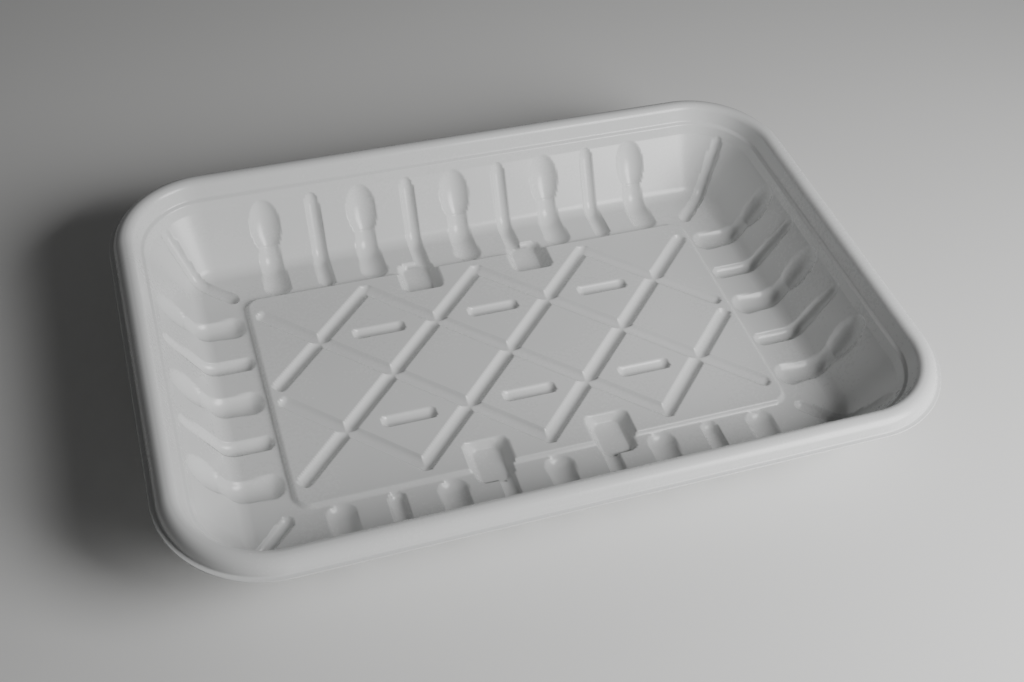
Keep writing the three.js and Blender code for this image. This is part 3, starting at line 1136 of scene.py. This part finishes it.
@dataclass(frozen=True)
class WhitePlastic:
    """Opaque white polypropylene with a satin gloss, as it comes off a mould."""

    name: str = "white_plastic"
    light: tuple[float, float, float, float] = (0.77, 0.775, 0.77, 1.0)
    thin: tuple[float, float, float, float] = (0.735, 0.743, 0.74, 1.0)
    roughness: float = 0.27
    roughness_range: float = 0.08
    grain_share: float = 0.6
    ior: float = 1.52
    grain_height: float = 0.004
    wave_height: float = 0.2
    drift: Noise = Noise(28.0, 3.0)
    grain: Noise = Noise(900.0, 4.0, 0.6)
    wave: Noise = Noise(45.0, 1.0)

    def material(self) -> bpy.types.Material:
        """The plastic's nodes.

        A slow noise mixes two whites and moves the roughness a little, as a drawn sheet does
        where it is thinner. A fine noise is the mould's grain, and a slow one in the height
        leaves the broad faces not quite flat.

        Returns:
            The material.
        """
        material = bpy.data.materials.new(self.name)
        material.use_nodes = True
        nodes = NodeBuilder(material.node_tree)
        shader = material.node_tree.nodes["Principled BSDF"]
        place = nodes.output(nodes.add("ShaderNodeTexCoord"), "Object")
        noises = (self.drift, self.grain, self.wave)
        slow, fine, wave = (noise.shade(nodes, place) for noise in noises)
        colour = nodes.add("ShaderNodeMix", {"data_type": "RGBA"})
        mix = colour.socket.node
        ends = [socket for socket in mix.inputs if socket.type == "RGBA"]
        ends[0].default_value, ends[1].default_value = self.thin, self.light
        material.node_tree.links.new(slow.socket, mix.inputs[0])
        tint = next(socket for socket in mix.outputs if socket.type == "RGBA")
        material.node_tree.links.new(tint, shader.inputs["Base Color"])
        fine_range = self.roughness_range * self.grain_share
        uneven = (slow - NOISE_MIDDLE) * self.roughness_range + (fine - NOISE_MIDDLE) * fine_range
        rough = self.roughness + uneven
        material.node_tree.links.new(rough.socket, shader.inputs["Roughness"])
        height = fine * self.grain_height + wave * self.wave_height
        bump = nodes.add("ShaderNodeBump", {}, Strength=1.0, Distance=MM, Height=height)
        material.node_tree.links.new(bump.socket, shader.inputs["Normal"])
        shader.inputs["IOR"].default_value = self.ior
        return material


@dataclass(frozen=True)
class PalePaint:
    """The studio floor's matt paint."""

    name: str = "pale_floor"
    colour: tuple[float, float, float, float] = (0.8, 0.8, 0.79, 1.0)
    roughness: float = 0.75
    roughness_range: float = 0.1
    speck: Noise = Noise(60.0, 2.0)

    def material(self) -> bpy.types.Material:
        """The paint's nodes: one colour, and a roughness that a noise makes a little uneven.

        Returns:
            The material.
        """
        material = bpy.data.materials.new(self.name)
        material.use_nodes = True
        nodes = NodeBuilder(material.node_tree)
        shader = material.node_tree.nodes["Principled BSDF"]
        shader.inputs["Base Color"].default_value = self.colour
        place = nodes.output(nodes.add("ShaderNodeTexCoord"), "Object")
        rough = self.roughness + self.speck.shade(nodes, place) * self.roughness_range
        material.node_tree.links.new(rough.socket, shader.inputs["Roughness"])
        return material


# ---- Studio ----


@dataclass(frozen=True)
class Studio:
    """A pale floor, one soft key light from the front right, a faint fill and the camera."""

    floor_size: float = 3.0
    key_direction: tuple[float, float, float] = (0.572, -0.613, 0.545)
    key_distance: float = 0.5
    key_size: float = 0.27
    key_power: float = 3.05
    fill: float = 0.065
    fill_colour: tuple[float, float, float, float] = (1.0, 1.0, 1.0, 1.0)
    lens: float = 44.58
    frame_width: float = 36.0
    clip: tuple[float, float] = (0.01, 20.0)
    eye: tuple[float, float, float] = (-99.222, -257.765, 293.202)
    right: tuple[float, float, float] = (0.94991876, -0.30816015, 0.05188139)
    down: tuple[float, float, float] = (-0.18973826, -0.700673, -0.68779121)
    ahead: tuple[float, float, float] = (0.24830173, 0.64350188, -0.72405219)

    def floor(self) -> None:
        """A level square under the tray."""
        half = self.floor_size / 2
        corners = [(-half, -half, 0.0), (half, -half, 0.0), (half, half, 0.0), (-half, half, 0.0)]
        mesh = bpy.data.meshes.new("studio_floor")
        mesh.from_pydata(corners, [], [(0, 1, 2, 3)])
        floor = bpy.data.objects.new("studio_floor", mesh)
        bpy.context.collection.objects.link(floor)
        floor.data.materials.append(PalePaint().material())

    def lights(self) -> None:
        """The soft box and the even fill from all round."""
        light = bpy.data.lights.new("soft_box", "AREA")
        light.shape, light.size, light.energy = "SQUARE", self.key_size, self.key_power
        box = bpy.data.objects.new("soft_box", light)
        direction = Vector(self.key_direction).normalized()
        turned = direction.to_track_quat("Z", "Y").to_matrix().to_4x4()
        box.matrix_world = Matrix.Translation(direction * self.key_distance) @ turned
        bpy.context.collection.objects.link(box)
        world = bpy.data.worlds.new("fill")
        world.use_nodes = True
        background = world.node_tree.nodes["Background"]
        background.inputs["Color"].default_value = self.fill_colour
        background.inputs["Strength"].default_value = self.fill
        bpy.context.scene.world = world

    def camera(self, panel_height: float) -> None:
        """The camera at the photograph's place.

        Args:
            panel_height: Height in millimetres of the plane that the place was measured from.
        """
        camera = bpy.data.cameras.new("camera")
        camera.lens, camera.sensor_width = self.lens, self.frame_width
        camera.sensor_fit = "HORIZONTAL"
        camera.clip_start, camera.clip_end = self.clip
        holder = bpy.data.objects.new("camera", camera)
        axes = Matrix((self.right, [-v for v in self.down], [-v for v in self.ahead])).transposed()
        place = Vector(self.eye) + Vector((0.0, 0.0, panel_height))
        holder.matrix_world = Matrix.Translation(place * MM) @ axes.to_4x4()
        bpy.context.collection.objects.link(holder)
        bpy.context.scene.camera = holder


def main() -> None:
    """Builds the studio, then the tray."""
    logging.basicConfig(level=logging.INFO)
    studio = Studio()
    studio.camera(Panel().height)
    studio.floor()
    studio.lights()
    Tray(node=next(iter(frame["nodes"])), slot_name="white_plastic").build(WhitePlastic())


if __name__ == "__main__":
    main()
